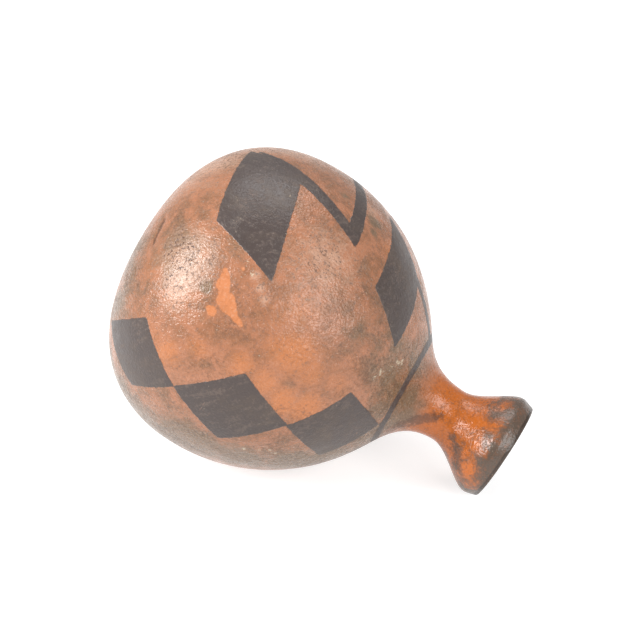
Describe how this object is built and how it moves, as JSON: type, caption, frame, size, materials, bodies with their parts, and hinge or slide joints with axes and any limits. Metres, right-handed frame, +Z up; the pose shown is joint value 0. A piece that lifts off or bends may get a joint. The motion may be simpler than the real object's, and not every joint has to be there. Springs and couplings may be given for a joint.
{
  "type": "ceremonial gourd vessel",
  "caption": "Gourd-shaped burnished clay vessel with a long waisted neck, a flared mouth and painted dark lozenges; hollow, open, and lying on its belly and lip.",
  "frame": {"origin": "on the floor below the centre of the vessel's box, as it lies at rest", "axes": "+X towards the mouth, in plan along the vessel's own axis; +Z up"},
  "size_m": [0.2984, 0.2244, 0.2251],
  "materials": {
    "burnished_clay": "burnished orange-brown slip with matt dark grey painted lozenges and fire clouds"
  },
  "bodies": {
    "root": {"gourd_vessel": "burnished_clay"}
  },
  "joints": []
}
